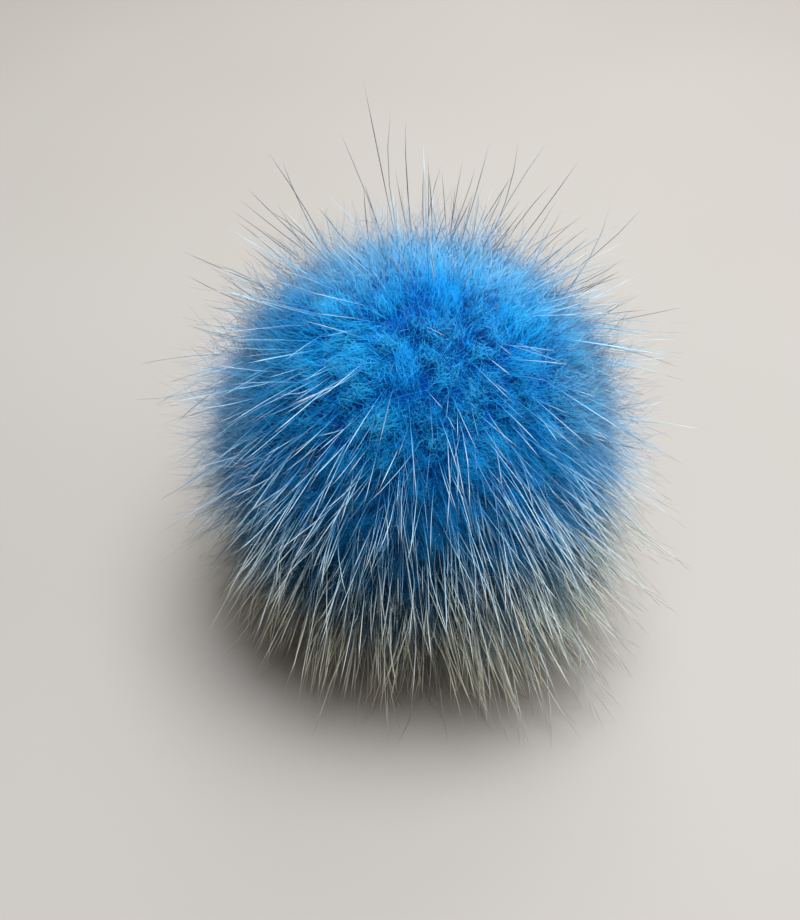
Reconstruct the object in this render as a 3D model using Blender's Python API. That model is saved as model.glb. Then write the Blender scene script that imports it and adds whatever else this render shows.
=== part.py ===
"""A fur pom pom: one dense ball of dyed underfur with locks of long pale guard hair.

Metres, +Z up. The origin is the middle of the flat spot that the ball rests on, and -Y is
the front. The whole thing is one closed solid: the ball backs the locks, whose roots are
fused into it, and the locks stand apart from each other all the way to their tips.
"""
import math

import bmesh
import bpy
from mathutils import Vector, noise
from mathutils.kdtree import KDTree

# --- The ball of underfur ---------------------------------------------------------------
FUR_RADIUS = 0.0222       # centre of the ball to the surface of the dense underfur
FOOT_RADIUS = 0.0080      # the small flat spot under the ball
BALL_DIVISIONS = 4        # steps of the icosphere: 1280 faces, about 3.3 mm a side

# --- The locks of guard hair ------------------------------------------------------------
LOCK_SPOTS = 314          # even spots over the whole ball; those at the foot stay bare
LOCK_LENGTH = 0.0102      # along the lock, from the ball's surface to the tip
LENGTH_SPREAD = 0.36      # how much longer or shorter a lock may be, as a share
ROOT_INSET = 0.00042      # from the edge of a face of the ball to the lock that grows on it
ROOT_CLEARANCE = 0.0006   # a face that reaches lower than this carries no lock
LOCK_SECTIONS = (0.26, 0.55, 0.80)       # where a lock has a section, root to tip, as shares
SECTION_WIDTHS = (0.72, 0.46, 0.24)      # width of each of them, as a share of the root's
TRACE_STEPS = 20          # steps in which a lock's centre line is traced

# --- How the hair lies ------------------------------------------------------------------
COMB = Vector((0.11, 0.0, 0.40))         # the hair leans away from this, the crown's side
TOUSLE = 0.16             # how far the hair strays from that, as a share
TOUSLE_WAVES = 2.6        # turns of it for each radius of the ball
FLOOR_REACH = 0.0065      # below this height the hair is bent outwards by the surface
RESTING_ROOT = 0.0032     # locks rooted lower than this lie down on the surface
LOW_ROOT = 0.0110         # locks rooted lower than this are shorter
SHORTEST_LOW = 0.52       # length of the lowest locks, as a share of the others'

# --- Low swellings of the ball: the way they face, how far they stand out, how wide -------
# azimuth (0 is the right side, -90 the front), elevation, rise in metres, half angle
SWELLINGS = (
    (18.0, 22.0, 0.0013, 30.0),
    (60.0, 32.0, 0.0008, 26.0),
    (118.0, 30.0, 0.0006, 26.0),
    (165.0, 18.0, 0.0006, 24.0),
    (-112.0, 58.0, 0.0007, 16.0),
    (-62.0, 30.0, 0.0004, 22.0),
    (-140.0, -8.0, 0.0006, 28.0),
    (-40.0, -14.0, 0.0007, 28.0),
)
RIPPLE = 0.00022          # small unevenness all over the ball
RIPPLE_WAVES = 3.4        # bumps of it for each radius of the ball

BALL_CENTRE = Vector((0.0, 0.0, math.sqrt(FUR_RADIUS ** 2 - FOOT_RADIUS ** 2)))
GOLDEN_ANGLE = math.pi * (3.0 - math.sqrt(5.0))


def clear_scene():
    """Start from an empty scene."""
    for old in list(bpy.data.objects):
        bpy.data.objects.remove(old, do_unlink=True)


def fur_material(name, colour, roughness):
    """A matt Principled material of one colour."""
    material = bpy.data.materials.new(name)
    material.use_nodes = True
    shader = material.node_tree.nodes["Principled BSDF"]
    shader.inputs["Base Color"].default_value = (*colour, 1.0)
    shader.inputs["Roughness"].default_value = roughness
    shader.inputs["Metallic"].default_value = 0.0
    return material


def facing(azimuth, elevation):
    """The unit vector that faces an azimuth and an elevation, both in degrees."""
    around = math.radians(azimuth)
    up = math.radians(elevation)
    return Vector((math.cos(around) * math.cos(up), math.sin(around) * math.cos(up), math.sin(up)))


def surface_radius(outward):
    """How far the underfur reaches from the ball's centre in one direction."""
    radius = FUR_RADIUS + RIPPLE * noise.noise(outward * RIPPLE_WAVES)
    for azimuth, elevation, rise, half_angle in SWELLINGS:
        away = math.degrees(outward.angle(facing(azimuth, elevation)))
        radius += rise * math.exp(-((away / half_angle) ** 2))
    return radius


def shape_ball(mesh):
    """Make the ball, swell it, and press its underside flat where it rests."""
    bmesh.ops.create_icosphere(mesh, subdivisions=BALL_DIVISIONS, radius=1.0)
    for vertex in mesh.verts:
        outward = vertex.co.normalized()
        vertex.co = BALL_CENTRE + outward * surface_radius(outward)
        vertex.co.z = max(vertex.co.z, 0.0)


def lock_faces(mesh):
    """The faces of the ball that carry a lock: the ones nearest to an even spiral of points."""
    mesh.faces.ensure_lookup_table()
    tree = KDTree(len(mesh.faces))
    for face in mesh.faces:
        tree.insert((face.calc_center_median() - BALL_CENTRE).normalized(), face.index)
    tree.balance()
    chosen = []
    for turn in range(LOCK_SPOTS):
        height = 1.0 - 2.0 * (turn + 0.5) / LOCK_SPOTS
        ring = math.sqrt(1.0 - height * height)
        around = turn * GOLDEN_ANGLE
        aim = Vector((ring * math.cos(around), ring * math.sin(around), height))
        index = tree.find(aim)[1]
        face = mesh.faces[index]
        lowest = min(vertex.co.z for vertex in face.verts)
        if lowest > ROOT_CLEARANCE and face not in chosen:
            chosen.append(face)
    return chosen


def hair_direction(point):
    """The way the hair lies at a point outside the ball, level near the surface under it."""
    outward = point - BALL_CENTRE
    lie = outward.normalized() - COMB
    lie += noise.noise_vector(outward / FUR_RADIUS * TOUSLE_WAVES) * TOUSLE
    if lie.z < 0.0:
        lie.z *= min(1.0, max(point.z, 0.0) / FLOOR_REACH)
    return lie.normalized()


def lock_length(root):
    """A lock's length: uneven over the ball, and short beside the foot."""
    uneven = 1.0 + LENGTH_SPREAD * noise.noise((root - BALL_CENTRE) / FUR_RADIUS * 6.1)
    low = SHORTEST_LOW + (1.0 - SHORTEST_LOW) * min(1.0, root.z / LOW_ROOT)
    return LOCK_LENGTH * uneven * low


def centre_line(root, length):
    """Trace a lock from its root along the lie of the hair: a list of points."""
    points = [root.copy()]
    for _ in range(TRACE_STEPS):
        points.append(points[-1] + hair_direction(points[-1]) * (length / TRACE_STEPS))
    if root.z < RESTING_ROOT:
        for step, point in enumerate(points):
            point.z *= (1.0 - step / TRACE_STEPS) ** 2
    return points


def grow_lock(mesh, face):
    """Grow one three-sided lock out of a face of the ball, tapering to a point."""
    bmesh.ops.inset_individual(mesh, faces=[face], thickness=ROOT_INSET, use_even_offset=True)
    root = face.calc_center_median()
    outward = face.normal.copy()
    spokes = [corner.vert.co - root for corner in face.loops]
    points = centre_line(root, lock_length(root))
    for share, width in zip(LOCK_SECTIONS, SECTION_WIDTHS):
        step = round(share * TRACE_STEPS)
        along = (points[step + 1] - points[step - 1]).normalized()
        turn = outward.rotation_difference(along)
        face = bmesh.ops.extrude_discrete_faces(mesh, faces=[face])["faces"][0]
        for corner, spoke in zip(face.loops, spokes):
            corner.vert.co = points[step] + turn @ (spoke * width)
            corner.vert.co.z = max(corner.vert.co.z, 0.0)
    tip = bmesh.ops.poke(mesh, faces=[face])["verts"][0]
    tip.co = points[-1]
    tip.co.z = max(tip.co.z, 0.0)


def build_fur_ball():
    """The whole pom pom as one object."""
    mesh = bmesh.new()
    shape_ball(mesh)
    mesh.normal_update()
    for face in lock_faces(mesh):
        before = set(mesh.faces)
        grow_lock(mesh, face)
        for new_face in set(mesh.faces) - before:
            new_face.material_index = 1
    bmesh.ops.triangulate(mesh, faces=mesh.faces[:])
    for face in mesh.faces:
        face.smooth = True
    data = bpy.data.meshes.new("fur_ball")
    mesh.to_mesh(data)
    mesh.free()
    data.materials.append(fur_material("dyed_underfur", (0.010, 0.140, 0.520), 0.85))
    data.materials.append(fur_material("guard_hair", (0.560, 0.600, 0.600), 0.55))
    fur_ball = bpy.data.objects.new("fur_ball", data)
    bpy.context.scene.collection.objects.link(fur_ball)
    return fur_ball


clear_scene()
build_fur_ball()
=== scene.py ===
"""The looks of a blue fur pom pom: dense wavy underfur with long pale guard hairs.

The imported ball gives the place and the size. It is replaced by a skin and by hairs that are
real, thin meshes: flat ribbons for the underfur, the fuzz and the thin awn hair, and tapering
blades with three corners for the long guard hair. Everything is in metres, +Z up, and -Y is
the front.
"""
import math

import bmesh
import bpy
import numpy as np
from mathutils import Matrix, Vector
from mathutils.kdtree import KDTree


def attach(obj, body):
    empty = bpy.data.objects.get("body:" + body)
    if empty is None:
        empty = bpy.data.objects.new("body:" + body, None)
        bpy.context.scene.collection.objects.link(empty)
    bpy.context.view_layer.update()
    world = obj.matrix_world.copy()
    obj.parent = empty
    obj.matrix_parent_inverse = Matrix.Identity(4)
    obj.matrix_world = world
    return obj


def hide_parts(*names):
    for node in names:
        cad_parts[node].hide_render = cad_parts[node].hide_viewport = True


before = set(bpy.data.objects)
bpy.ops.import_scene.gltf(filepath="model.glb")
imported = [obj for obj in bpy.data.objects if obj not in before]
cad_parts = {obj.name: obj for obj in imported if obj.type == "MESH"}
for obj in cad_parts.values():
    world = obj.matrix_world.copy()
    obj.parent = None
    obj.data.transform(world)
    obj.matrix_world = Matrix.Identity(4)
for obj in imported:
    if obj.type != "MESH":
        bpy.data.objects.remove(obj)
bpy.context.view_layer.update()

MM = 0.001

# --- The ball, as in the solids -----------------------------------------------------------
FUR_RADIUS = 22.2 * MM
FOOT_RADIUS = 8.0 * MM
CENTRE = np.array([0.0, 0.0, math.sqrt(FUR_RADIUS ** 2 - FOOT_RADIUS ** 2)])
# azimuth (0 is the right side, -90 the front), elevation, rise in mm, half angle
SWELLINGS = (
    (18.0, 22.0, 1.3, 30.0),
    (60.0, 32.0, 0.8, 26.0),
    (118.0, 30.0, 0.6, 26.0),
    (165.0, 18.0, 0.6, 24.0),
    (-112.0, 58.0, 0.7, 16.0),
    (-62.0, 30.0, 0.4, 22.0),
    (-140.0, -8.0, 0.6, 28.0),
    (-40.0, -14.0, 0.7, 28.0),
)

# --- The skin under the hair ----------------------------------------------------------------
SKIN_DEPTH = 2.1 * MM            # from the surface of the underfur down to the modelled skin
SKIN_DIVISIONS = 6               # steps of the icosphere: 20,480 faces
SKIN_WAVE = 2.6 * MM             # one turn of its unevenness
SKIN_UNEVENNESS = 0.16 * MM
SKIN_HEIGHT = 0.15 * MM          # it comes no closer to the surface under the ball
FIBRE_DEPTH = SKIN_DEPTH + 0.2 * MM      # the fine fibres grow from a little below the skin

# --- How the hair lies ----------------------------------------------------------------------
COMB = np.array([0.12, 0.0, 0.80])   # the hair leans away from this, the crown's side
LOW_COMB = np.array([-0.18, -0.10, 0.12])    # what is added to that lower down
UPRIGHT_BACK = 0.55              # how much less the hair leans on the upper back, as a share
FIBRE_LEAN = 0.5                 # how much the underfur leans, as a share of the long hair's lean
CROWN = np.array([0.12, -0.30, 0.95])    # where the hair parts and the long hair is thin
CROWN_DENSITY = 0.5              # how much less long hair grows there, as a share
CROWN_BEND = 0.7                 # how much straighter it is there, as a share
LOW_FRONT = np.array([0.0, -0.80, -0.60])    # where the long hair is thickest
# azimuth, elevation, how much longer and how much denser the long hair is there, half angle
GROWTH = (
    (184.0, -8.0, -0.35, -0.35, 30.0),
    (-4.0, -10.0, -0.15, -0.31, 26.0),
    (90.0, 48.0, 0.42, -0.11, 34.0),
    (-90.0, -34.0, 0.16, 0.0, 30.0),
    (-138.0, 8.0, 0.0, -0.18, 24.0),
    (-88.0, 26.0, 0.0, -0.22, 24.0),
    (15.0, 25.0, 0.15, 0.08, 22.0),
    (165.0, 25.0, 0.0, 0.07, 22.0),
    (-50.0, -13.0, 0.34, 0.60, 24.0),
    (-138.0, -12.0, 0.10, -0.18, 20.0),
)
# azimuth, elevation, how much shorter the dense underfur is there, half angle
THIN_PLACES = (
    (182.0, 2.0, 0.42, 36.0),
    (2.0, 0.0, 0.36, 28.0),
    (-150.0, -18.0, 0.20, 26.0),
    (90.0, 40.0, 0.14, 34.0),
    (146.0, 40.0, 0.24, 22.0),
)
# azimuth, elevation, lean of the underfur there, how much paler it is, half angle; the paleness is
# painted light on the tuft, and painted shade where it is below 0
TUFTS = (
    (-132.0, 67.0, (-1.1, -0.3, -0.1), 0.80, 8.5),
    (-150.0, 58.0, (-0.6, -0.3, -0.3), 0.22, 7.0),
    (-13.0, 83.0, (0.3, 0.5, 0.0), -0.22, 8.0),
    (-76.0, 57.0, (0.25, -0.15, 0.0), -0.20, 5.0),
    (-100.0, 64.0, (-0.1, 0.2, 0.0), -0.15, 4.0),
    (40.0, 62.0, (0.4, 0.4, 0.0), 0.15, 10.0),
    (-60.0, 38.0, (0.3, -0.2, -0.2), -0.18, 6.0),
    (-110.0, 30.0, (-0.3, 0.0, -0.4), -0.15, 6.0),
    (2.0, 24.0, (0.0, 0.0, 0.0), 0.22, 34.0),
    (-42.0, -2.0, (0.0, 0.0, 0.0), 0.24, 22.0),
)
TUFT_LEANS = np.array([row[2] for row in TUFTS])
TUFT_PALENESS = np.array([row[3] for row in TUFTS])
# azimuth, elevation, half angle: where the long hair at the lower right is broad, and pale, partly
# its own colour and partly painted light
BROAD_PLACE = (-48.0, -6.0, 22.0)
BROADER = 0.5                    # how much broader it is there, as a share
PALE_PLACE = (-50.0, -13.0, 22.0)
PALER = 0.12                     # what is added to its tint there
FLOOR_REACH = 3.5 * MM           # below this height the surface bends the hair outwards
FLOOR_GAP = 0.06 * MM            # no hair comes closer to the surface than this

# --- Where the hair is rooted ---------------------------------------------------------------
# how far roots stray from even places, as a share of the space between them
TUFT_SCATTER = 0.5
FIBRE_SCATTER = 0.6
LOCK_SCATTER = 0.6
LONG_SCATTER = 0.9
LOWEST_FIBRE = 0.35 * MM         # no fine fibre is rooted lower than this
LOWEST_LONG_HAIR = 0.5 * MM      # nor any long hair lower than this
LOW_ROOT = 11.0 * MM             # long hair rooted lower than this is shorter
SHORTEST_LOW = 0.55              # length of the lowest long hair, as a share of the others'

# --- The coats of hair ------------------------------------------------------------------------
SECTIONS = 4                     # straight parts of each hair, root to tip
BATCHES = 3                      # pieces that the underfur is built in, and the fuzz too
FIBRES = 23000                   # roots tried for each of those pieces
# length: of a usual fibre; spare: the mean of what each has over that; stray: how far its start
# strays from the lie; curl: how far it turns; crimp: how far its kinks stand out; pull: how much
# of the way it is drawn to its tuft's tip; thin: how much the THIN_PLACES shorten it, or lengthen
# it where that is negative
UNDERFUR = dict(length=2.0 * MM, spare=0.95 * MM, stray=0.26, curl=1.3, crimp=0.14 * MM,
                pull=0.74, thin=1.0)
FUZZ = dict(length=2.3 * MM, spare=2.6 * MM, stray=0.38, curl=1.2, crimp=0.18 * MM,
            pull=0.20, thin=-0.2)
TUFT_COUNT = 760                 # small tufts that the fibres are drawn into
TUFT_LENGTH = 3.4 * MM
TUFT_LENGTHS = (0.78, 1.18)      # least and most of that for one tuft, as shares
TUFT_STRAY = 0.34
TUFT_CURL = 0.45
DRIFT = 0.16                     # slow drift of the fibres' lie over the ball
DRIFT_WAVE = 9.0 * MM
SWAY = 0.35                      # slow change of the way that the fibres turn
SWAY_WAVE = 5.0 * MM
LONGEST_SPARE = 2.6              # the longest fibre's spare length, in means
LENGTH_SPREAD = 0.12             # of the fibres' usual length, as a share
LEAST_DRAWN = 0.3                # the least that a fibre is drawn to its tuft, as a share of pull
HAZY_LOOSE = 0.7                 # how much less it is drawn at the back and the sides
FUZZ_SHARE = 0.45                # share of the fuzz's fibres that are kept in front
HAZY_FUZZ_SHARE = 0.50           # what is added to that at the back and the sides

AWNS = 8600                      # roots tried
GUARDS = 7000
# length: of a usual hair; spread: of the lengths, as a share; upper_density: on the upper half,
# as a share of the lower one's; stray, curl and pull as above
AWN = dict(length=6.8 * MM, spread=0.24, upper_density=0.10, stray=0.22, curl=0.24, pull=0.7)
GUARD = dict(length=9.2 * MM, spread=0.32, upper_density=0.28, stray=0.23, curl=0.19, pull=0.75)
LONG_HAIR_DENSITY = 0.7          # share of the roots tried that grow a long hair where it is thick
LOCK_COUNT = 520                 # locks that the long hair is drawn into
LOCK_STRAY = 0.12
LOW_PULL = 0.95                  # how much of the way the lowest long hair is drawn to its lock
LEAST_LOCKED = 0.1               # the least that a hair is drawn to it, as a share of its pull

# (share of the way to the tip, width in mm)
UNDERFUR_WIDTHS = ((0.0, 0.052), (0.6, 0.044), (1.0, 0.014))
FUZZ_WIDTHS = ((0.0, 0.034), (0.6, 0.028), (1.0, 0.010))
AWN_WIDTHS = ((0.0, 0.045), (0.5, 0.062), (1.0, 0.012))
GUARD_WIDTHS = ((0.0, 0.045), (0.3, 0.080), (0.55, 0.100), (0.8, 0.078), (1.0, 0.010))
FINEST_UNDERFUR = 0.6            # width of the finest fibre, as a share of the usual
FINEST = 0.7                     # and of the finest hair of the other coats
BROADEST = 1.2
# corners: of a section, 2 for a flat ribbon and 3 for a blade; lay: how far in degrees a hair is
# turned about itself at most; softness: how far its shading turns to the ball's roundness
UNDERFUR_SHAPE = dict(corners=2, lay=35.0, softness=0.86)
FUZZ_SHAPE = dict(corners=2, lay=60.0, softness=0.85)
AWN_SHAPE = dict(corners=2, lay=60.0, softness=0.3)
GUARD_SHAPE = dict(corners=3, lay=180.0, softness=0.0)
SIDE_JITTER = 0.2 * MM           # how far the middle that the ribbons face away from is moved
TINY_LENGTH = 1e-12              # these two keep a direction from having no length
TINY_SHARE = 1e-9
UV_COLUMN = 2.0 / 1024.0         # width of a hair in the UV map
UV_MARGIN = 0.01                 # above and below the hairs in the UV map

# --- The colours of the hair --------------------------------------------------------------------
# what makes up a fine fibre's tint: its height, which paints shade low on the ball, its tuft's
# chance, its own chance, and the loose fur, which paints a pale haze of back light at the back and
# the sides
HIGH_TINT = 0.6
TUFT_TINT = 0.26
OWN_TINT = 0.14
HAZY_TINT = 0.36
CLEAR_TINT = 0.88                # only the loose fur at the back and the sides, with its painted haze of back light, goes past this
FUZZ_TINT = -0.20                # what is added to that for the fuzz
# what the fuzz's painted haze of back light adds at the back and the sides, high up
HAZY_FUZZ_TINT = 0.40
# what makes up a long hair's tint: its height, low and high on the ball, which paints shade on the
# lowest hair, and the far side, where painted shade greys the tips of the upper hair
LOW_LONG_TINT = 0.18
HIGH_LONG_TINT = 0.54
FAR_LONG_TINT = 0.36
LONG_TINT_SPREAD = 0.06
# (tint, ((share of the way to the tip, (red, green, blue)), ...)): from low on the ball, dark
# there as painted shade, to high on it, and last the loose fur, paler as a painted haze of back
# light, and the long hair of the far side, grey-tipped as painted shade. The underfur and the fuzz
# also darken towards their roots as painted shade of the fur's depth
UNDERFUR_COLOURS = (
    (0.0, ((0.0, (0.000, 0.008, 0.020)), (0.5, (0.000, 0.026, 0.062)),
           (1.0, (0.002, 0.068, 0.122)))),
    (0.6, ((0.0, (0.000, 0.056, 0.280)), (0.5, (0.000, 0.228, 0.690)),
           (1.0, (0.000, 0.425, 0.950)))),
    (0.88, ((0.0, (0.000, 0.155, 0.490)), (0.5, (0.008, 0.380, 0.790)),
            (1.0, (0.090, 0.640, 0.950)))),
    (1.0, ((0.0, (0.020, 0.215, 0.520)), (0.5, (0.058, 0.365, 0.670)),
           (1.0, (0.105, 0.470, 0.730)))),
)
FUZZ_COLOURS = (
    (0.0, ((0.0, (0.002, 0.030, 0.075)), (0.6, (0.018, 0.078, 0.135)),
           (1.0, (0.110, 0.155, 0.170)))),
    (0.7, ((0.0, (0.000, 0.220, 0.700)), (0.6, (0.000, 0.380, 0.840)),
           (1.0, (0.020, 0.480, 0.840)))),
    (1.0, ((0.0, (0.080, 0.330, 0.610)), (0.4, (0.200, 0.460, 0.680)),
           (1.0, (0.370, 0.560, 0.700)))),
)
AWN_COLOURS = (
    (0.0, ((0.0, (0.001, 0.008, 0.016)), (0.4, (0.014, 0.024, 0.028)),
           (1.0, (0.110, 0.100, 0.070)))),
    (0.2, ((0.0, (0.002, 0.030, 0.080)), (0.45, (0.025, 0.090, 0.135)),
           (1.0, (0.380, 0.400, 0.340)))),
    (0.6, ((0.0, (0.001, 0.180, 0.560)), (0.4, (0.080, 0.300, 0.560)),
           (1.0, (0.380, 0.560, 0.680)))),
    (1.0, ((0.0, (0.000, 0.280, 0.800)), (0.4, (0.080, 0.340, 0.600)),
           (1.0, (0.140, 0.190, 0.240)))),
)
GUARD_COLOURS = (
    (0.0, ((0.0, (0.002, 0.012, 0.024)), (0.4, (0.095, 0.090, 0.068)),
           (1.0, (0.300, 0.268, 0.185)))),
    (0.18, ((0.0, (0.002, 0.020, 0.050)), (0.22, (0.040, 0.100, 0.150)),
            (0.42, (0.600, 0.610, 0.505)), (0.80, (0.880, 0.840, 0.650)),
            (1.0, (0.740, 0.690, 0.510)))),
    (0.45, ((0.0, (0.002, 0.120, 0.400)), (0.20, (0.040, 0.250, 0.500)),
            (0.36, (0.540, 0.740, 0.800)), (0.80, (0.800, 0.890, 0.890)),
            (1.0, (0.720, 0.800, 0.780)))),
    (0.7, ((0.0, (0.000, 0.240, 0.740)), (0.26, (0.020, 0.400, 0.860)),
           (0.48, (0.320, 0.700, 0.940)), (0.75, (0.680, 0.900, 0.990)),
           (1.0, (0.580, 0.780, 0.880)))),
    (1.0, ((0.0, (0.000, 0.240, 0.740)), (0.20, (0.020, 0.300, 0.640)),
           (0.32, (0.140, 0.230, 0.300)), (0.45, (0.110, 0.135, 0.150)),
           (1.0, (0.070, 0.075, 0.080)))),
)
SKIN_COLOURS = ((0.3, (0.000, 0.045, 0.240)), (0.7, (0.000, 0.065, 0.320)))
SKIN_SHADE = ((0.0, (0.10, 0.22, 0.18)), (1.0, (1.0, 1.0, 1.0)))     # from the middle upwards
SKIN_SHADE_REACH = 0.6           # how far up it fades out, as a share of the ball's radius
FLOOR_COLOURS = ((0.3, (0.450, 0.402, 0.344)), (0.7, (0.480, 0.432, 0.374)))

# --- Camera, as the photograph was taken ------------------------------------------------------
FRAME_WIDTH = 800                # pixels of the picture's frame
FRAME_HEIGHT = 920
BALL_PIXEL = (413, 440)          # where the middle of the ball shows
FOCAL_PIXELS = 1150
CAMERA_ELEVATION = 46.0
CAMERA_DISTANCE = 130.0 * MM
SENSOR_WIDTH = 36.0
NEAREST_SHOWN = 5.0 * MM

# --- Floor and light ----------------------------------------------------------------------------
FLOOR_HALF = 1.2                 # from its middle to its edge
# name, place, length of a side, watts, colour
LIGHTS = (
    ("overhead", (0.05, 0.02, 0.40), 0.26, 2.06, (0.90, 0.98, 1.10)),
    ("behind", (0.05, 0.30, 0.30), 0.24, 0.52, (0.97, 0.98, 1.0)),
    ("right", (0.34, -0.06, 0.16), 0.24, 0.36, (0.97, 0.98, 1.0)),
)
SKY_COLOUR = (1.02, 0.97, 0.90, 1.0)
SKY_STRENGTH = 0.16

GOLDEN_ANGLE = math.pi * (3.0 - math.sqrt(5.0))
MIX_FIRST, MIX_SECOND, MIX_RESULT = 6, 7, 2      # a mix node's sockets when it mixes colours
SEED = 20                        # each use of chance adds a number of its own to this


# ============================== small helpers ==============================

def unit(vectors):
    """Vectors of length one."""
    return vectors / np.linalg.norm(vectors, axis=-1, keepdims=True)


def facing(azimuth, elevation):
    """The unit vector that faces an azimuth and an elevation, both in degrees."""
    around = math.radians(azimuth)
    up = math.radians(elevation)
    level = math.cos(up)
    return np.array([math.cos(around) * level, math.sin(around) * level, math.sin(up)])


def even_directions(count):
    """Directions spread evenly over the whole ball, along a spiral."""
    turn = np.arange(count) + 0.5
    height = 1.0 - 2.0 * turn / count
    ring = np.sqrt(1.0 - height ** 2)
    around = turn * GOLDEN_ANGLE
    return np.stack([ring * np.cos(around), ring * np.sin(around), height], axis=1)


def scattered_directions(count, spread, rng):
    """Even directions, each moved aside at random by a share of the space between them."""
    space = math.sqrt(4.0 * math.pi / count)
    moved = even_directions(count) + rng.normal(size=(count, 3)) * space * spread
    return unit(moved)


def near(outward, azimuth, elevation, half_angle):
    """1 for directions right at an azimuth and an elevation, falling to 0 away from them."""
    cosine = np.clip(outward @ facing(azimuth, elevation), -1.0, 1.0)
    return np.exp(-((np.degrees(np.arccos(cosine)) / half_angle) ** 2))


def surface_radius(outward):
    """How far the dense underfur reaches from the ball's centre in each direction."""
    radius = np.full(len(outward), FUR_RADIUS)
    for azimuth, elevation, rise, half_angle in SWELLINGS:
        radius += rise * MM * near(outward, azimuth, elevation, half_angle)
    return radius


def waves(points, length, seed):
    """Smooth vectors that vary from place to place, about one turn over each length."""
    rng = np.random.default_rng(seed)
    total = np.zeros_like(points)
    crossed = 8
    for _ in range(crossed):
        heading = unit(rng.normal(size=3)) * 2.0 * math.pi / length * rng.uniform(0.6, 1.4)
        phase = rng.uniform(0.0, 2.0 * math.pi, 3)
        total += np.sin((points @ heading)[:, None] + phase)
    return total / math.sqrt(crossed)


def smooth_step(low, high, values):
    """0 at low and 1 at high, with a soft turn between. low may be the larger of the two."""
    share = np.clip((values - low) / (high - low), 0.0, 1.0)
    return share * share * (3.0 - 2.0 * share)


def add_piece(name, data):
    """A new object of some mesh, camera or light data, in the scene."""
    piece = bpy.data.objects.new(name, data)
    bpy.context.scene.collection.objects.link(piece)
    return piece


# ============================== hair paths ==============================

def upper_share(outward):
    """1 on the upper part of the ball, 0 on its lower half."""
    return smooth_step(0.0, 0.62, outward[:, 2])


def lie_of(outward, share):
    """The way that hair lies that takes a share of the lean, for directions from the centre."""
    back, height = outward[:, 1], outward[:, 2]
    low = 1.0 - smooth_step(0.2, 1.0, height)
    upright = UPRIGHT_BACK * smooth_step(-0.2, 0.8, back) * smooth_step(-0.5, 0.2, height)
    lean = COMB + LOW_COMB * low[:, None]
    return unit(outward - lean * (share * (1.0 - upright))[:, None])


def above_floor(points):
    """The same points, with none closer to the surface under the ball than FLOOR_GAP."""
    points[..., 2] = np.maximum(points[..., 2], FLOOR_GAP)
    return points


def trace(roots, lie, length, curl):
    """Grow a hair from each root. Gives points of shape (hairs, SECTIONS + 1, 3).

    lie is the way that each hair starts, and curl is what turns it more and more up to its tip.
    Hair is stiff enough to hold its way, until the surface under the ball turns it outwards.
    """
    points = np.empty((len(roots), SECTIONS + 1, 3))
    points[:, 0] = roots
    step_length = (length / SECTIONS)[:, None]
    for step in range(SECTIONS):
        here = points[:, step]
        way = lie + curl * ((step + 0.5) / SECTIONS)
        low = np.clip(here[:, 2] / FLOOR_REACH, 0.0, 1.0)
        way[:, 2] = np.where(way[:, 2] < 0.0, way[:, 2] * low, way[:, 2])
        points[:, step + 1] = here + unit(way) * step_length
    return above_floor(points)


def nearest_of(roots, others):
    """The number of the nearest of the others, for each root."""
    tree = KDTree(len(others))
    for index, place in enumerate(others):
        tree.insert(place, index)
    tree.balance()
    return np.array([tree.find(root)[1] for root in roots])


def gather(points, tips, pull):
    """Draw hairs together: each leans over so far that its tip nears the given one."""
    share = np.linspace(0.0, 1.0, points.shape[1])[None, :, None]
    return points + (tips[:, None] - points[:, -1:]) * share * pull[:, None, None]


# ============================== meshes ==============================

def sides_of(points, lay, rng):
    """Two directions square to each hair's path.

    The first lies along the ball's surface, so that a ribbon shows its face outwards, and is
    turned about the hair at random by up to lay degrees.
    """
    along = np.empty_like(points)
    along[:, 1:-1] = points[:, 2:] - points[:, :-2]
    along[:, 0] = points[:, 1] - points[:, 0]
    along[:, -1] = points[:, -1] - points[:, -2]
    along = unit(along + TINY_LENGTH)
    jitter = rng.normal(size=(len(points), 1, 3)) * SIDE_JITTER
    outward = unit(points[:, :1] - CENTRE + jitter)
    across = unit(np.cross(outward, along) + TINY_SHARE)
    other = np.cross(along, across)
    turn = np.radians(rng.uniform(-lay, lay, len(points)))[:, None, None]
    first = across * np.cos(turn) + other * np.sin(turn)
    second = np.cross(along, first)
    return first, second


def faces_of_hair(corners):
    """The faces of one hair, as tuples of its vertices, with the tip as the last of them."""
    rings = SECTIONS
    walls = 1 if corners == 2 else corners
    quads = []
    for low in range(0, (rings - 1) * corners, corners):
        for wall in range(walls):
            after = (wall + 1) % corners
            quads.append((low + wall, low + after, low + corners + after, low + corners + wall))
    top = (rings - 1) * corners
    tip = rings * corners
    ends = [(top + wall, top + (wall + 1) % corners, tip) for wall in range(walls)]
    return quads + ends


def faces_of_hairs(hairs, corners):
    """The corners of all the faces, where each face starts among them, and its corners' number."""
    faces = faces_of_hair(corners)
    own_loops = np.array([corner for face in faces for corner in face])
    own_sizes = np.array([len(face) for face in faces])
    own_starts = np.concatenate([[0], np.cumsum(own_sizes)[:-1]])
    numbers = np.arange(hairs)[:, None]
    loops = own_loops[None, :] + numbers * (SECTIONS * corners + 1)
    starts = own_starts[None, :] + numbers * len(own_loops)
    return loops.reshape(-1), starts.reshape(-1), np.tile(own_sizes, hairs)


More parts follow.
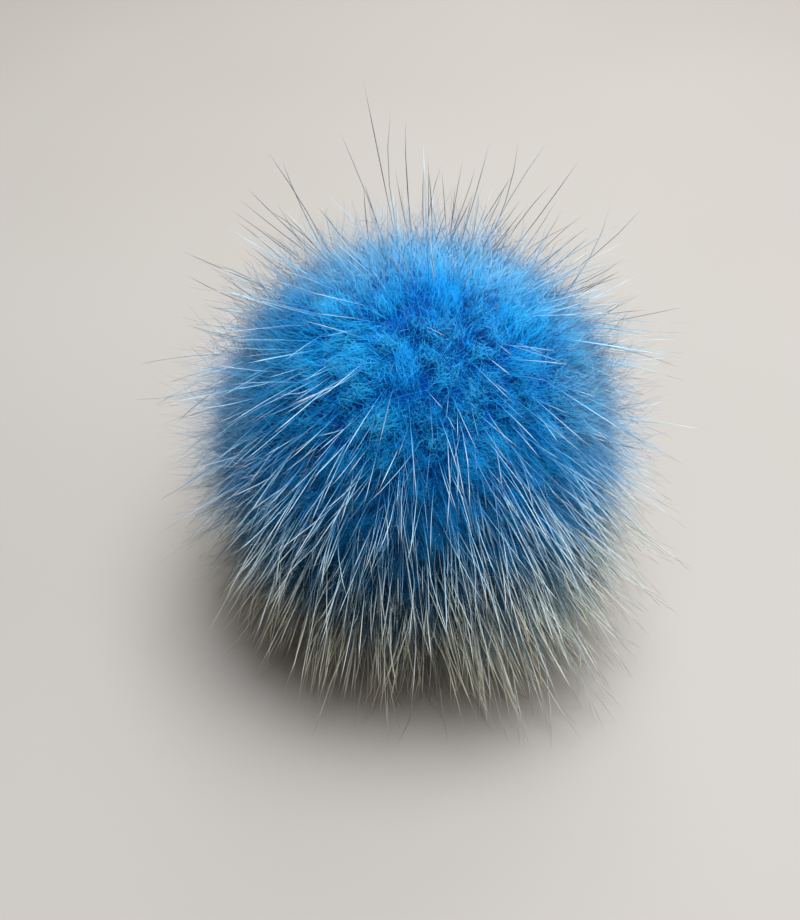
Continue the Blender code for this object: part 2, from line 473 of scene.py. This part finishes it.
def body_of_hairs(points, half_width, corners, lay, rng):
    """The vertices of the hairs: corners round each section but the last, and then the tip."""
    first, second = sides_of(points, lay, rng)
    width = half_width[:, :-1, None]
    edges = []
    for turn in np.arange(corners) * 2.0 * math.pi / corners:
        spoke = first * math.cos(turn) + second * math.sin(turn)
        edges.append(points[:, :-1] + spoke[:, :-1] * width)
    body = np.stack(edges, axis=2).reshape(len(points), SECTIONS * corners, 3)
    vertices = np.concatenate([body, points[:, -1:]], axis=1)
    vertices[..., 2] = np.maximum(vertices[..., 2], 0.0)
    return vertices


def map_hairs(tint, along, corners):
    """Each vertex's place in the UV map: hairs side by side by their tint, roots at the foot."""
    rank = np.empty(len(tint))
    rank[np.argsort(tint, kind="stable")] = np.linspace(UV_COLUMN, 1.0 - UV_COLUMN, len(tint))
    side = np.append(np.tile(np.linspace(-0.5, 0.5, corners), SECTIONS), 0.0) * UV_COLUMN
    across = (rank[:, None] + side[None, :]).reshape(-1)
    up = UV_MARGIN + (1.0 - 2.0 * UV_MARGIN) * along
    return np.stack([across, up], axis=1)


def set_values(collection, name, values, kind):
    """Write one property of all the members of a mesh's collection."""
    collection.foreach_set(name, values.reshape(-1).astype(kind))


def hair_mesh(name, points, half_width, tint, rng, corners, lay, softness):
    """One mesh of many hairs: ribbons with two corners a section, or blades with three.

    Each hair ends in a point. It carries along, 0 at the root and 1 at the tip, and tint, a
    number of its own, for the materials, and a UV map whose columns are sorted by tint.
    corners, lay and softness are as in UNDERFUR_SHAPE.
    """
    hairs = len(points)
    vertices = body_of_hairs(points, half_width, corners, lay, rng)
    loops, starts, sizes = faces_of_hairs(hairs, corners)
    mesh = bpy.data.meshes.new(name)
    mesh.vertices.add(vertices.shape[0] * vertices.shape[1])
    set_values(mesh.vertices, "co", vertices, np.float32)
    mesh.loops.add(len(loops))
    set_values(mesh.loops, "vertex_index", loops, np.int32)
    mesh.polygons.add(len(starts))
    set_values(mesh.polygons, "loop_start", starts, np.int32)
    set_values(mesh.polygons, "loop_total", sizes, np.int32)
    set_values(mesh.polygons, "use_smooth", np.ones(len(starts)), bool)
    along = np.repeat(np.linspace(0.0, 1.0, SECTIONS + 1)[:-1], corners)
    along = np.tile(np.append(along, 1.0), hairs)
    for label, values in (("along", along), ("tint", np.repeat(tint, vertices.shape[1]))):
        layer = mesh.attributes.new(label, "FLOAT", "POINT")
        set_values(layer.data, "value", values, np.float32)
    uv = mesh.uv_layers.new(name="OFBake")
    set_values(uv.data, "uv", map_hairs(tint, along, corners)[loops], np.float32)
    mesh.update()
    mesh.validate()
    if softness:
        soften(mesh, vertices.reshape(-1, 3), softness)
    return add_piece(name, mesh)


def soften(mesh, vertices, softness):
    """Turn the shading of a mesh from its own faces to the ball's roundness by a share."""
    own_normals = np.empty(vertices.size, np.float32)
    mesh.vertices.foreach_get("normal", own_normals)
    round_normals = unit(vertices - CENTRE)
    soft = unit(round_normals * softness + own_normals.reshape(-1, 3) * (1.0 - softness))
    mesh.normals_split_custom_set_from_vertices(soft.tolist())


# ============================== materials ==============================

def new_material(name):
    """An empty node material with a Principled shader: material, nodes, links, shader."""
    material = bpy.data.materials.new(name)
    material.use_nodes = True
    nodes = material.node_tree.nodes
    return material, nodes, material.node_tree.links, nodes["Principled BSDF"]


def attribute(nodes, label):
    """The Fac output of a named attribute."""
    node = nodes.new("ShaderNodeAttribute")
    node.attribute_name = label
    return node.outputs["Fac"]


def ramp(nodes, links, factor, stops):
    """A colour ramp over factor. stops are (position, (red, green, blue))."""
    node = nodes.new("ShaderNodeValToRGB")
    elements = node.color_ramp.elements
    while len(elements) < len(stops):
        elements.new(0.5)
    for element, (position, colour) in zip(elements, stops):
        element.position = position
        element.color = (*colour, 1.0)
    links.new(factor, node.inputs["Fac"])
    return node.outputs["Color"]


def blend(nodes, links, first, second, factor=None, way="MIX"):
    """Mix two colour sockets by a factor socket, or in full where there is none."""
    node = nodes.new("ShaderNodeMix")
    node.data_type = "RGBA"
    node.blend_type = way
    node.inputs["Factor"].default_value = 1.0
    if factor is not None:
        links.new(factor, node.inputs["Factor"])
    links.new(first, node.inputs[MIX_FIRST])
    links.new(second, node.inputs[MIX_SECOND])
    return node.outputs[MIX_RESULT]


def noise(nodes, links, scale, detail):
    """The Fac output of a noise over the piece's own coordinates, scale in turns a metre."""
    place = nodes.new("ShaderNodeTexCoord")
    node = nodes.new("ShaderNodeTexNoise")
    node.inputs["Scale"].default_value = scale
    node.inputs["Detail"].default_value = detail
    links.new(place.outputs["Object"], node.inputs["Vector"])
    return node.outputs["Fac"]


def hair_material(name, columns, roughness, specular):
    """Hair whose colour runs from root to tip, and from one column to the next with the tint.

    columns are (tint, stops), stops as in ramp. Gives the material and its shader.
    """
    material, nodes, links, shader = new_material(name)
    along = attribute(nodes, "along")
    own = attribute(nodes, "tint")
    colour = ramp(nodes, links, along, columns[0][1])
    for (before, _), (tint, stops) in zip(columns, columns[1:]):
        share = ramp(nodes, links, own, ((before, (0, 0, 0)), (tint, (1, 1, 1))))
        colour = blend(nodes, links, colour, ramp(nodes, links, along, stops), share)
    links.new(colour, shader.inputs["Base Color"])
    shader.inputs["Roughness"].default_value = roughness
    shader.inputs["Specular IOR Level"].default_value = specular
    return material, shader


def soft_hair_material(name, columns, weight, sheen_roughness, tint):
    """Matt hair with the pale sheen that soft fur has at its edges."""
    material, shader = hair_material(name, columns, roughness=0.8, specular=0.05)
    shader.inputs["Sheen Weight"].default_value = weight
    shader.inputs["Sheen Roughness"].default_value = sheen_roughness
    shader.inputs["Sheen Tint"].default_value = (*tint, 1.0)
    return material


def underfur_material():
    """Strong blue dye, clear above; painted shade dulls it low on the ball and towards the roots,
    and a painted haze of back light makes it paler where it is loose.
    """
    return soft_hair_material("dyed_underfur", UNDERFUR_COLOURS, 0.80, 0.28, (0.80, 0.88, 0.96))


def fuzz_material():
    """The finest, longest fibres: pale blue tips that make the soft edge of the ball, paler still
    at the back and the sides as a painted haze of back light, and dark low down as painted shade.
    """
    return soft_hair_material("blue_fuzz", FUZZ_COLOURS, 0.90, 0.32, (0.85, 0.90, 0.96))


def awn_material():
    """The thin hairs between: dark grey-brown at the foot of the ball as painted shade, teal low
    down, pale blue above, and grey-tipped behind as painted shade.
    """
    return hair_material("blue_grey_awn_hair", AWN_COLOURS, roughness=0.5, specular=0.2)[0]


def guard_material():
    """Guard hair: blue at the root, cream-grey low on the ball and dark at its very foot as
    painted shade, pale blue above, and grey behind as painted shade.
    """
    return hair_material("pale_guard_hair", GUARD_COLOURS, roughness=0.4, specular=0.4)[0]


def skin_material():
    """The shaded depth between the hairs, darker low down."""
    material, nodes, links, shader = new_material("fur_depth")
    mottle = ramp(nodes, links, noise(nodes, links, 900.0, 3.0), SKIN_COLOURS)
    place = nodes.new("ShaderNodeTexCoord")
    parts = nodes.new("ShaderNodeSeparateXYZ")
    links.new(place.outputs["Object"], parts.inputs["Vector"])
    height = nodes.new("ShaderNodeMapRange")
    height.inputs["From Min"].default_value = CENTRE[2]
    height.inputs["From Max"].default_value = CENTRE[2] + FUR_RADIUS * SKIN_SHADE_REACH
    links.new(parts.outputs["Z"], height.inputs["Value"])
    shade = ramp(nodes, links, height.outputs["Result"], SKIN_SHADE)
    colour = blend(nodes, links, mottle, shade, way="MULTIPLY")
    links.new(colour, shader.inputs["Base Color"])
    shader.inputs["Roughness"].default_value = 0.9
    shader.inputs["Specular IOR Level"].default_value = 0.05
    return material


# ============================== the fur ==============================

def half_widths(shape, finest, hairs, rng):
    """Half widths along hairs from (share, width in mm) pairs, some hairs finer than others."""
    shares, widths = zip(*shape)
    usual = np.interp(np.linspace(0.0, 1.0, SECTIONS + 1), shares, widths) * MM * 0.5
    return usual[None, :] * rng.uniform(finest, BROADEST, (hairs, 1))


def make_skin():
    """The closed, uneven surface that shows between the hairs."""
    mesh = bmesh.new()
    bmesh.ops.create_icosphere(mesh, subdivisions=SKIN_DIVISIONS, radius=1.0)
    outward = unit(np.array([vertex.co for vertex in mesh.verts]))
    radius = surface_radius(outward) - SKIN_DEPTH
    places = CENTRE + outward * radius[:, None]
    places += outward * (waves(places, SKIN_WAVE, SEED)[:, :1] * SKIN_UNEVENNESS)
    for vertex, place in zip(mesh.verts, places):
        vertex.co = place
        vertex.co.z = max(vertex.co.z, SKIN_HEIGHT)
    data = bpy.data.meshes.new("fur_skin")
    mesh.to_mesh(data)
    mesh.free()
    for polygon in data.polygons:
        polygon.use_smooth = True
    data.materials.append(skin_material())
    return add_piece("fur_skin", data)


def hair_roots(count, spread, depth, lowest, rng):
    """Directions and root places of hairs that grow a little below the underfur's surface."""
    outward = scattered_directions(count, spread, rng)
    roots = CENTRE + outward * (surface_radius(outward) - depth)[:, None]
    keep = roots[:, 2] > lowest
    return outward[keep], roots[keep]


def tuft_shares(outward):
    """How much each direction takes part in each of the TUFTS: (directions, tufts)."""
    return np.stack([near(outward, row[0], row[1], row[4]) for row in TUFTS], axis=1)


def hazy_share(outward):
    """1 at the back and the sides of the ball, where the fur is loose and paler as a painted haze
    of back light, 0 in front.
    """
    back = smooth_step(-0.25, 0.48, outward[:, 1])
    side = smooth_step(0.45, 0.95, np.abs(outward[:, 0]))
    return np.maximum(back, side)


def high_share(outward):
    """0 under the ball, 1 from well above its middle upwards."""
    return smooth_step(-0.8, 0.6, outward[:, 2])


def thinned(outward):
    """Length of the underfur in each direction, as a share of what is usual."""
    share = np.ones(len(outward))
    for azimuth, elevation, shorter, half_angle in THIN_PLACES:
        share -= shorter * near(outward, azimuth, elevation, half_angle)
    return share


def fibre_lie(outward, roots, stray, rng):
    """The way fine fibres start: the lie, the TUFTS' lean, their own stray and a slow drift."""
    lie = lie_of(outward, FIBRE_LEAN) + tuft_shares(outward) @ TUFT_LEANS
    own = rng.normal(size=roots.shape) * stray
    return lie + own + waves(roots, DRIFT_WAVE, SEED + 1) * DRIFT


def fibre_bend(roots, curl, rng):
    """What turns fine fibres up to their tips: their own curl and a slow sway."""
    own = rng.normal(size=roots.shape) * curl
    return own + waves(roots, SWAY_WAVE, SEED + 2) * SWAY


def tuft_leaders():
    """For each tuft: its root, the tip that its fibres are drawn to, and its share of length."""
    rng = np.random.default_rng(SEED + 4)
    outward, roots = hair_roots(TUFT_COUNT, TUFT_SCATTER, FIBRE_DEPTH, LOWEST_FIBRE, rng)
    lie = fibre_lie(outward, roots, TUFT_STRAY, rng)
    bend = fibre_bend(roots, TUFT_CURL, rng)
    share = rng.uniform(*TUFT_LENGTHS, len(roots))
    return roots, trace(roots, lie, share * TUFT_LENGTH, bend)[:, -1], share


def fibre_tint(outward, tuft, tufts, rng):
    """Each fibre's place among the colours: by height, for painted shade low down, by its tuft's
    chance and its own, by the painted light and shade of the TUFTS, and paler at the back and the
    sides as a painted haze of back light.
    """
    hazy = hazy_share(outward)
    chance = np.random.default_rng(SEED + 5).uniform(0.0, 1.0, tufts)[tuft]
    own = TUFT_TINT * chance + OWN_TINT * rng.uniform(0.0, 1.0, len(outward))
    own *= (0.3 + 0.7 * smooth_step(-0.55, 0.25, outward[:, 2])) * (1.0 - 0.5 * hazy)
    # painted light and shade of the TUFTS, and a painted haze of back light at the back and the
    # sides, high up
    paler = tuft_shares(outward) @ TUFT_PALENESS + HAZY_TINT * hazy * high_share(outward)
    # the height term leaves the low fibres dark: painted shade
    tint = HIGH_TINT * smooth_step(-0.15, 1.02, outward[:, 2]) + own + paler
    return np.clip(tint, 0.0, CLEAR_TINT + (1.0 - CLEAR_TINT) * hazy)


def fibres(count, leaders, seed, length, spare, stray, curl, crimp, pull, thin):
    """Directions, wavy paths and tints of one batch of fine fibres, and its random numbers."""
    rng = np.random.default_rng(seed)
    outward, roots = hair_roots(count, FIBRE_SCATTER, FIBRE_DEPTH, LOWEST_FIBRE, rng)
    hairs = len(roots)
    tuft_roots, tuft_tips, tuft_lengths = leaders
    tuft = nearest_of(roots, tuft_roots)
    reach = length * tuft_lengths[tuft] * rng.normal(1.0, LENGTH_SPREAD, hairs).clip(0.6, 1.4)
    reach += rng.exponential(1.0, hairs).clip(0.0, LONGEST_SPARE) * spare
    reach *= thin * thinned(outward) + 1.0 - thin
    lie = fibre_lie(outward, roots, stray, rng)
    points = trace(roots, lie, reach, fibre_bend(roots, curl, rng))
    drawn = rng.uniform(LEAST_DRAWN * pull, pull, hairs)
    drawn *= 1.0 - HAZY_LOOSE * hazy_share(outward)
    points = gather(points, tuft_tips[tuft], drawn)
    kink = rng.normal(size=points.shape) * crimp
    kink[:, 0] = 0.0
    points = above_floor(points + kink)
    return outward, points, fibre_tint(outward, tuft, len(tuft_roots), rng), rng


def underfur_piece(batch, count, leaders, material):
    """One piece of the dense dyed underfur."""
    points, tint, rng = fibres(count, leaders, SEED + 10 + batch, **UNDERFUR)[1:]
    half_width = half_widths(UNDERFUR_WIDTHS, FINEST_UNDERFUR, len(points), rng)
    piece = hair_mesh(f"underfur_{batch + 1}", points, half_width, tint, rng, **UNDERFUR_SHAPE)
    piece.data.materials.append(material)
    return piece


def fuzz_piece(batch, count, leaders, material):
    """One piece of the longer, finer fuzz, which is thicker where the fur is loose, and paler
    there as a painted haze of back light.
    """
    outward, points, tint, rng = fibres(count, leaders, SEED + 20 + batch, **FUZZ)
    hazy = hazy_share(outward)
    keep = rng.uniform(size=len(points)) < FUZZ_SHARE + HAZY_FUZZ_SHARE * hazy
    # painted haze of back light at the back and the sides, high up
    tint += FUZZ_TINT + HAZY_FUZZ_TINT * hazy * high_share(outward)
    tint = np.clip(tint, 0.0, 1.0)[keep]
    points = points[keep]
    half_width = half_widths(FUZZ_WIDTHS, FINEST, len(points), rng)
    piece = hair_mesh(f"fuzz_{batch + 1}", points, half_width, tint, rng, **FUZZ_SHAPE)
    piece.data.materials.append(material)
    return piece


def underfur_pieces():
    """The fine dyed fibres and the longer fuzz over them, each in BATCHES pieces."""
    count = FIBRES
    leaders = tuft_leaders()
    # the blue dye, with painted shade low down and a painted haze of back light at the back
    dyed = underfur_material()
    pieces = [underfur_piece(batch, count, leaders, dyed) for batch in range(BATCHES)]
    pale = fuzz_material()
    pieces += [fuzz_piece(batch, count, leaders, pale) for batch in range(BATCHES)]
    return pieces


def long_hair_growth(outward, upper_density):
    """How densely long hair grows in each direction, and how long it is, as shares."""
    front = smooth_step(-0.35, 0.5, outward @ LOW_FRONT)
    thickest = np.maximum(front, smooth_step(0.2, -0.3, outward[:, 2]))
    density = LONG_HAIR_DENSITY * (upper_density + (1.0 - upper_density) * thickest)
    longer = np.ones(len(outward))
    for azimuth, elevation, more_length, more_density, half_angle in GROWTH:
        share = near(outward, azimuth, elevation, half_angle)
        longer *= 1.0 + more_length * share
        density += more_density * share
    density *= 1.0 - CROWN_DENSITY * smooth_step(0.88, 0.99, outward @ CROWN)
    return density, longer


def long_hairs(count, seed, length, spread, upper_density, stray, curl, pull):
    """Directions and paths of long hairs, drawn into locks, and their random numbers."""
    rng = np.random.default_rng(seed)
    outward, roots = hair_roots(count, LONG_SCATTER, SKIN_DEPTH, LOWEST_LONG_HAIR, rng)
    density, longer = long_hair_growth(outward, upper_density)
    keep = rng.uniform(size=len(roots)) < density
    outward, roots, longer = outward[keep], roots[keep], longer[keep]
    hairs = len(roots)
    reach = rng.normal(1.0, spread, hairs).clip(0.5, 1.6) * longer
    reach *= SHORTEST_LOW + (1.0 - SHORTEST_LOW) * np.clip(roots[:, 2] / LOW_ROOT, 0.0, 1.0)
    lie = lie_of(outward, 1.0) + rng.normal(size=(hairs, 3)) * stray
    bend = rng.normal(size=(hairs, 3)) * curl
    bend *= 1.0 - CROWN_BEND * smooth_step(0.75, 0.95, outward @ CROWN)[:, None]
    points = trace(roots, lie, length * reach, bend)

    lock_rng = np.random.default_rng(seed + 1)
    lock_outward, lock_roots = hair_roots(
        LOCK_COUNT, LOCK_SCATTER, SKIN_DEPTH, LOWEST_LONG_HAIR, lock_rng)
    lock_lie = lie_of(lock_outward, 1.0) + lock_rng.normal(size=lock_roots.shape) * LOCK_STRAY
    lock = nearest_of(roots, lock_roots)
    straight = np.zeros_like(bend)
    tips = trace(lock_roots[lock], lock_lie[lock], length * reach, straight)[:, -1]
    drawn = pull + (LOW_PULL - pull) * smooth_step(0.3, -0.2, outward[:, 2])
    points = gather(points, tips, drawn * rng.uniform(LEAST_LOCKED, 1.0, hairs))
    return outward, above_floor(points), rng


def pale_tint(outward, rng):
    """Each long hair's place among the colours: dark at the very foot as painted shade, cream low
    down, pale above, grey-tipped behind as painted shade, and paler at the lower right, partly as
    painted light.
    """
    height = outward[:, 2]
    # below this the tint stays 0, dark: painted shade under the ball
    tint = LOW_LONG_TINT * smooth_step(-0.75, -0.25, height)
    tint += HIGH_LONG_TINT * smooth_step(-0.05, 0.62, height)
    # grey tips on the far side's upper hair: painted shade
    back = smooth_step(0.12, 0.45, outward[:, 1])
    side = smooth_step(0.72, 0.98, np.abs(outward[:, 0]))
    tint += FAR_LONG_TINT * np.maximum(back, side) * upper_share(outward)
    tint += PALER * near(outward, *PALE_PLACE)
    return np.clip(tint + rng.normal(0.0, LONG_TINT_SPREAD, len(outward)), 0.0, 1.0)


def long_hair_piece(name, count, seed, coat, widths, shape, material):
    """One piece of long hair, of the AWN or the GUARD coat."""
    outward, points, rng = long_hairs(count, seed, **coat)
    half_width = half_widths(widths, FINEST, len(points), rng)
    half_width *= 1.0 + BROADER * near(outward, *BROAD_PLACE)[:, None]
    tint = pale_tint(outward, rng)
    piece = hair_mesh(name, points, half_width, tint, rng, **shape)
    piece.data.materials.append(material)
    return piece


def awn_piece():
    """The thin, middling long hairs between the underfur and the guard hair, as ribbons."""
    count = AWNS
    material = awn_material()
    return long_hair_piece("awn_hair", count, SEED + 40, AWN, AWN_WIDTHS, AWN_SHAPE, material)


def guard_piece():
    """The long pale guard hairs, as blades with three corners."""
    count = GUARDS
    material = guard_material()
    return long_hair_piece(
        "guard_hair", count, SEED + 30, GUARD, GUARD_WIDTHS, GUARD_SHAPE, material)


# ============================== camera, floor and light ==============================

def aim(thing, target):
    """Point a camera or a light at a place."""
    heading = Vector(target) - thing.location
    thing.rotation_euler = heading.to_track_quat("-Z", "Y").to_euler()


def make_camera():
    """The photograph's view: from the front and above, the ball a little off the middle."""
    up = math.radians(CAMERA_ELEVATION)
    to_camera = Vector((0.0, -math.cos(up), math.sin(up)))
    right = Vector((1.0, 0.0, 0.0))
    upward = to_camera.cross(right)
    metres_per_pixel = CAMERA_DISTANCE / FOCAL_PIXELS
    target = Vector(CENTRE)
    target -= right * (BALL_PIXEL[0] - FRAME_WIDTH / 2) * metres_per_pixel
    target += upward * (BALL_PIXEL[1] - FRAME_HEIGHT / 2) * metres_per_pixel
    data = bpy.data.cameras.new("camera")
    data.sensor_fit = "HORIZONTAL"
    data.sensor_width = SENSOR_WIDTH
    data.lens = SENSOR_WIDTH * FOCAL_PIXELS / FRAME_WIDTH
    data.clip_start = NEAREST_SHOWN
    camera = add_piece("camera", data)
    camera.location = target + to_camera * CAMERA_DISTANCE
    aim(camera, target)
    bpy.context.scene.camera = camera


def make_floor():
    """A plain pale surface."""
    material, nodes, links, shader = new_material("pale_floor")
    colour = ramp(nodes, links, noise(nodes, links, 9.0, 2.0), FLOOR_COLOURS)
    links.new(colour, shader.inputs["Base Color"])
    shader.inputs["Roughness"].default_value = 0.7
    sides = ((-1, -1), (1, -1), (1, 1), (-1, 1))
    corners = [(across * FLOOR_HALF, ahead * FLOOR_HALF, 0.0) for across, ahead in sides]
    data = bpy.data.meshes.new("floor")
    data.from_pydata(corners, [], [(0, 1, 2, 3)])
    data.materials.append(material)
    floor = add_piece("floor", data)


def make_light():
    """A broad soft light overhead, weak ones behind and on the right, and an even sky."""
    for name, place, side, power, colour in LIGHTS:
        data = bpy.data.lights.new(name, "AREA")
        data.size = side
        data.energy = power
        data.color = colour
        light = add_piece(name, data)
        light.location = place
        aim(light, CENTRE)
    world = bpy.data.worlds.new("studio")
    world.use_nodes = True
    sky = world.node_tree.nodes["Background"]
    sky.inputs["Color"].default_value = SKY_COLOUR
    sky.inputs["Strength"].default_value = SKY_STRENGTH
    bpy.context.scene.world = world
    bpy.context.scene.view_settings.view_transform = "Standard"


# ============================== the whole ==============================

make_camera()
make_floor()
make_light()

skin = make_skin()
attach(skin, "root")
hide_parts("fur_ball")

for piece in underfur_pieces():
    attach(piece, "root")

for piece in (awn_piece(), guard_piece()):
    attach(piece, "root")
